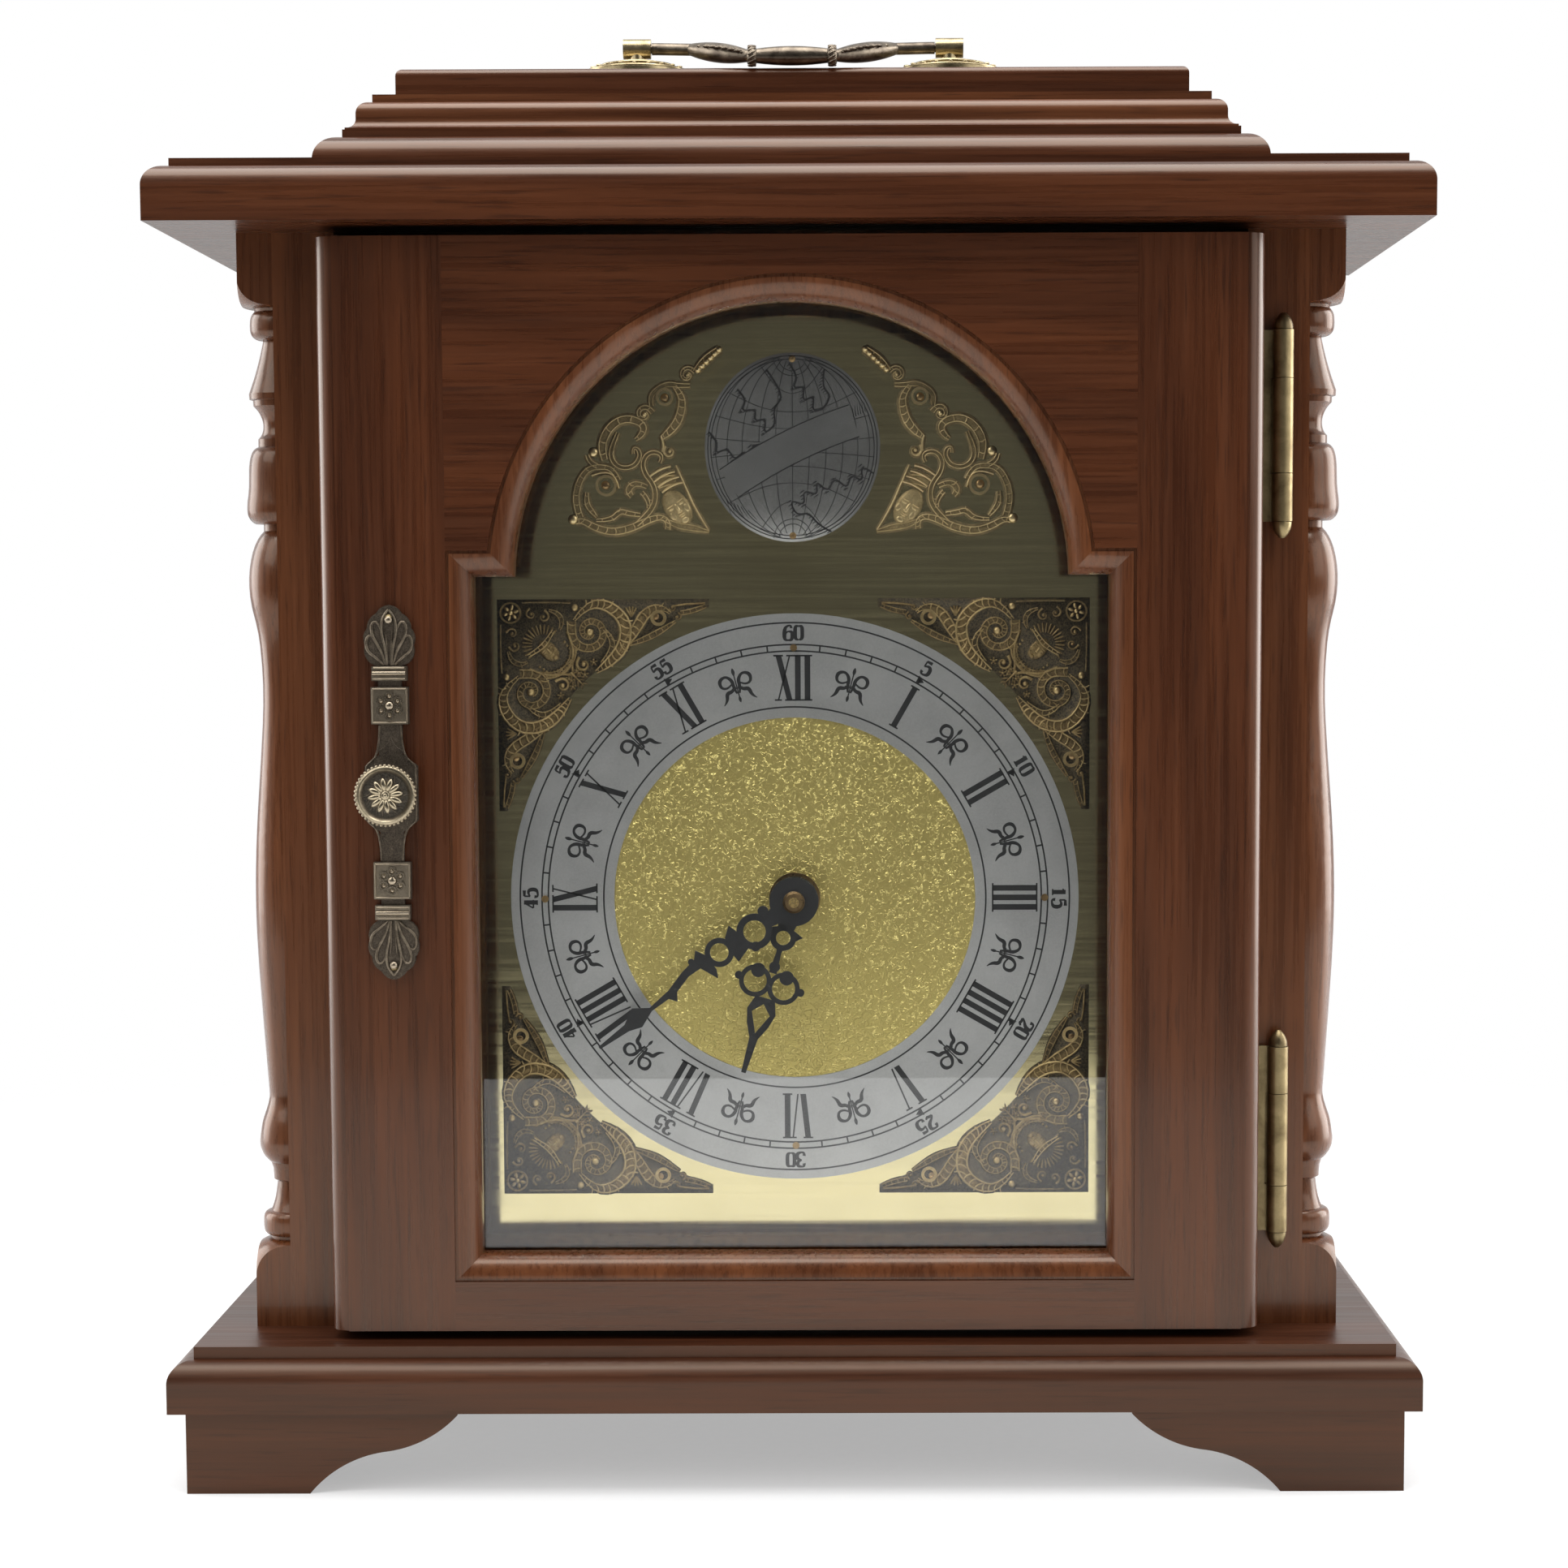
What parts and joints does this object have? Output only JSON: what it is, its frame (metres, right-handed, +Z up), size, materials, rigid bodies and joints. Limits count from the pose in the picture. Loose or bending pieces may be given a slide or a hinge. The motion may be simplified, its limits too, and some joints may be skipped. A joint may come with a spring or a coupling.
{
  "type": "mantel clock",
  "caption": "Break-arch mantel clock with a glazed arched door, split turned columns, a stepped crown with a carrying handle and a pierced-hand dial.",
  "frame": {"origin": "centre of the overall box, on the surface the feet stand on", "axes": "+Z up, +X to the viewer's right when facing the dial, +Y to the back; +Z is the longest extent and Y the shortest"},
  "size_m": [0.3822, 0.18, 0.4505],
  "materials": {
    "case_walnut": "gloss lacquer on dark walnut",
    "base_walnut": "gloss lacquer on dark walnut, grain across",
    "cornice_walnut": "gloss lacquer on dark walnut, grain across",
    "crown_walnut": "gloss lacquer on dark walnut, grain across",
    "turned_walnut": "gloss lacquer on turned walnut",
    "door_walnut": "gloss lacquer on dark walnut, grain upright",
    "rail_walnut": "gloss lacquer on dark walnut, grain across",
    "moulding_walnut": "gloss lacquer on walnut moulding",
    "plain_board": "plain sealed board",
    "back_board": "satin stained board",
    "dial_gold": "bright polished gold tone",
    "centre_gold": "matted gold tone",
    "ring_silver": "satin silver with black print",
    "globe_silver": "satin silver with black print",
    "spandrel_brass": "cast ornament, antique gilt",
    "screw_brass": "polished",
    "pull_brass": "antique, shaded in the hollows",
    "hinge_brass": "aged",
    "hinge_pin_brass": "aged dark",
    "handle_brass": "antique",
    "bail_bronze": "dark antique bronze",
    "clear_glass": "clear and polished",
    "movement_plastic": "fine texture",
    "drive_plastic": "potted block",
    "battery_jacket": "plain jacket",
    "steel": "nickel plated",
    "catch_plastic": "brown moulded",
    "arbor_brass": "turned bright",
    "gear_plastic": "natural acetal",
    "hand_black": "satin black",
    "nut_bronze": "turned, satin"
  },
  "bodies": {
    "door": {"door_stile_left": "door_walnut", "door_stile_right": "door_walnut", "door_top_rail": "rail_walnut", "door_bottom_rail": "rail_walnut", "door_moulding": "moulding_walnut", "glass_pane": "clear_glass", "glass_beads": "moulding_walnut", "pull_plate": "pull_brass", "pull_knob": "pull_brass", "pull_screws": "screw_brass", "door_strike": "steel", "hinge_upper_door_leaf": "hinge_brass", "hinge_lower_door_leaf": "hinge_brass"},
    "bail": {"handle_bail": "bail_bronze"},
    "minute_work": {"minute_arbor": "arbor_brass", "minute_hand": "hand_black", "hand_nut": "nut_bronze"},
    "hour_work": {"hour_wheel": "arbor_brass", "hour_hand": "hand_black"},
    "motion_work": {"motion_wheel": "gear_plastic"},
    "case": {"foot_front_left": "case_walnut", "foot_front_right": "case_walnut", "foot_rear_left": "case_walnut", "foot_rear_right": "case_walnut", "base_board": "base_walnut", "case_side_left": "case_walnut", "case_side_right": "case_walnut", "cornice_board": "cornice_walnut", "crown_lower_board": "crown_walnut", "crown_upper_board": "crown_walnut", "crown_cap": "crown_walnut", "column_left": "turned_walnut", "column_right": "turned_walnut", "dial_board": "plain_board", "dial_cleats": "plain_board", "back_panel": "back_board", "back_panel_screws": "steel", "dial_plate": "dial_gold", "chapter_ring": "ring_silver", "dial_centre": "centre_gold", "globe_disc": "globe_silver", "corner_spandrels": "spandrel_brass", "arch_spandrels": "spandrel_brass", "dial_screws": "screw_brass", "magnet_catch": "catch_plastic", "hinge_upper_case_leaf": "hinge_brass", "hinge_upper_pin": "hinge_pin_brass", "hinge_lower_case_leaf": "hinge_brass", "hinge_lower_pin": "hinge_pin_brass", "handle_rosettes": "handle_brass", "handle_posts": "handle_brass", "movement_shell": "movement_plastic", "movement_cover": "movement_plastic", "battery": "battery_jacket", "battery_contacts": "steel", "drive_module": "drive_plastic", "dial_nut": "arbor_brass"}
  },
  "joints": [
    {"name": "door_swing", "type": "hinge", "parent": "case", "child": "door", "pos_m": [0.15, -0.0576, 0.2142], "axis": [0, 0, 1], "range_deg": [0, 110]},
    {"name": "bail_swing", "type": "hinge", "parent": "case", "child": "bail", "pos_m": [0, 0, 0.4474], "axis": [-1, 0, 0], "range_deg": [0, 200]},
    {"name": "minute_turn", "type": "hinge", "parent": "case", "child": "minute_work", "pos_m": [0, -0.039, 0.1786], "axis": [0, 1, 0], "continuous": true},
    {"name": "hour_turn", "type": "hinge", "parent": "case", "child": "hour_work", "pos_m": [0, -0.039, 0.1786], "axis": [0, 1, 0], "continuous": true},
    {"name": "motion_turn", "type": "hinge", "parent": "case", "child": "motion_work", "pos_m": [0, -0.029, 0.1882], "axis": [0, 1, 0], "continuous": true}
  ],
  "couplings": [
    {"joint": "hour_turn", "follows": "minute_turn", "ratio": 0.083333},
    {"joint": "motion_turn", "follows": "minute_turn", "ratio": -0.33333}
  ]
}
